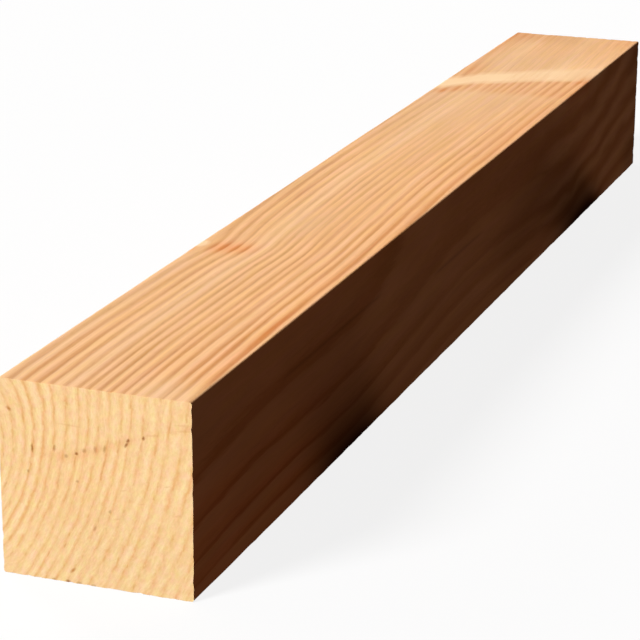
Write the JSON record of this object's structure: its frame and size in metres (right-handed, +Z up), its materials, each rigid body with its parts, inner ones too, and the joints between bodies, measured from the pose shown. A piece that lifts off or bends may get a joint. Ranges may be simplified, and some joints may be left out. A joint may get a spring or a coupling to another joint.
{
  "type": "squared timber",
  "caption": "Straight length of sawn softwood with a square section, lightly broken long arrises and square-cut ends, used as a post, beam or blocking stock.",
  "frame": {"origin": "centre of the bottom face, on the surface that the timber lies on", "axes": "+X along the length (along the grain, towards the top of the tree), +Y across the section, +Z up from the bottom face to the top face"},
  "size_m": [0.9, 0.1, 0.1],
  "materials": {
    "sawn_softwood": "matte"
  },
  "bodies": {
    "root": {"timber": "sawn_softwood"}
  },
  "joints": []
}
